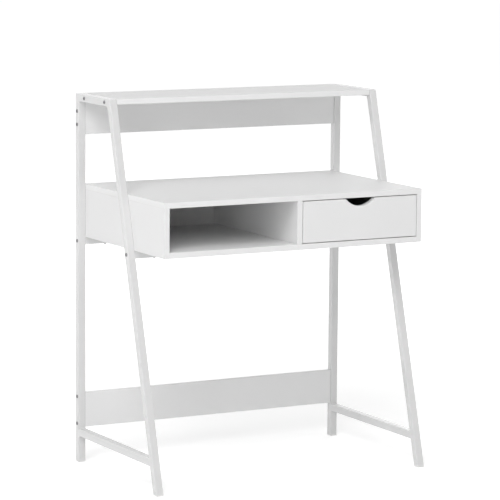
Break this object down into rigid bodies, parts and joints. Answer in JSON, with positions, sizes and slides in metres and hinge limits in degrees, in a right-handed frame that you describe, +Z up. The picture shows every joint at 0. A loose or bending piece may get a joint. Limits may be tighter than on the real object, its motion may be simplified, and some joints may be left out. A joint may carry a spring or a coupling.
{
  "type": "ladder desk",
  "caption": "White writing desk with leaning square-tube side frames, a raised shelf, an open cubby, an inset drawer with a finger cut-out, and back panels.",
  "frame": {"origin": "on the floor, at the middle of the box round the desk", "axes": "+Z up, +Y from the sitter's side to the rear, +X to the sitter's right"},
  "size_m": [0.8056, 0.4847, 0.992],
  "materials": {
    "frame_paint": "white powder coat, satin",
    "white_board": "white melamine-faced board, satin",
    "drawer_bottom_board": "thin white-faced fibreboard",
    "glide_plastic": "moulded white plastic",
    "bolt_steel": "dark zinc-plated steel",
    "runner_paint": "white epoxy-coated folded sheet",
    "roller_nylon": "natural nylon",
    "fitting_zinc": "zinc-plated steel and die-cast zinc",
    "dowel_wood": "fluted beech"
  },
  "bodies": {
    "desk": {"left_rear_post": "frame_paint", "right_rear_post": "frame_paint", "left_front_leg": "frame_paint", "right_front_leg": "frame_paint", "left_top_bar": "frame_paint", "right_top_bar": "frame_paint", "left_lower_stretcher": "frame_paint", "right_lower_stretcher": "frame_paint", "front_cross_tube": "frame_paint", "rear_cross_tube": "frame_paint", "top_shelf": "white_board", "upper_back_panel": "white_board", "lower_back_panel": "white_board", "desk_top": "white_board", "box_floor": "white_board", "box_left_side": "white_board", "box_right_side": "white_board", "box_divider": "white_board", "box_back": "white_board", "left_rear_foot_glide": "glide_plastic", "right_rear_foot_glide": "glide_plastic", "left_front_foot_glide": "glide_plastic", "right_front_foot_glide": "glide_plastic", "shelf_bolts": "bolt_steel", "upper_panel_bolts": "bolt_steel", "lower_panel_bolts": "bolt_steel", "cross_tube_bolts": "bolt_steel", "box_fixing_screws": "bolt_steel", "left_cabinet_rail": "runner_paint", "right_cabinet_rail": "runner_paint", "cabinet_roller_pins": "fitting_zinc", "cabinet_rail_screws": "fitting_zinc", "cross_tube_end_nuts": "fitting_zinc", "board_inserts": "fitting_zinc", "box_cam_bolts": "fitting_zinc", "box_cam_locks": "fitting_zinc", "box_dowels": "dowel_wood"},
    "drawer": {"drawer_front": "white_board", "left_drawer_side": "white_board", "right_drawer_side": "white_board", "drawer_back": "white_board", "drawer_bottom": "drawer_bottom_board", "left_drawer_rail": "runner_paint", "right_drawer_rail": "runner_paint", "drawer_roller_pins": "fitting_zinc", "drawer_rail_screws": "fitting_zinc", "drawer_back_screws": "fitting_zinc", "drawer_cam_locks": "fitting_zinc", "drawer_cam_bolts": "fitting_zinc"},
    "left_cabinet_roller_body": {"left_cabinet_roller": "roller_nylon"},
    "right_cabinet_roller_body": {"right_cabinet_roller": "roller_nylon"},
    "left_drawer_roller_body": {"left_drawer_roller": "roller_nylon"},
    "right_drawer_roller_body": {"right_drawer_roller": "roller_nylon"}
  },
  "joints": [
    {"name": "drawer_slide", "type": "slide", "parent": "desk", "child": "drawer", "axis": [0, -1, 0], "range_m": [0, 0.3]},
    {"name": "left_cabinet_roller_turn", "type": "hinge", "parent": "desk", "child": "left_cabinet_roller_body", "pos_m": [0.0237, -0.21, 0.6455], "axis": [1, 0, 0], "range_deg": [0, 2150]},
    {"name": "right_cabinet_roller_turn", "type": "hinge", "parent": "desk", "child": "right_cabinet_roller_body", "pos_m": [0.3613, -0.21, 0.6455], "axis": [1, 0, 0], "range_deg": [0, 2150]},
    {"name": "left_drawer_roller_turn", "type": "hinge", "parent": "drawer", "child": "left_drawer_roller_body", "pos_m": [0.0268, 0.163, 0.6453], "axis": [1, 0, 0], "range_deg": [0, 2150]},
    {"name": "right_drawer_roller_turn", "type": "hinge", "parent": "drawer", "child": "right_drawer_roller_body", "pos_m": [0.3582, 0.163, 0.6453], "axis": [1, 0, 0], "range_deg": [0, 2150]}
  ],
  "couplings": [
    {"joint": "left_cabinet_roller_turn", "follows": "drawer_slide", "rad_per_m": 125},
    {"joint": "right_cabinet_roller_turn", "follows": "drawer_slide", "rad_per_m": 125},
    {"joint": "left_drawer_roller_turn", "follows": "drawer_slide", "rad_per_m": 125},
    {"joint": "right_drawer_roller_turn", "follows": "drawer_slide", "rad_per_m": 125}
  ]
}
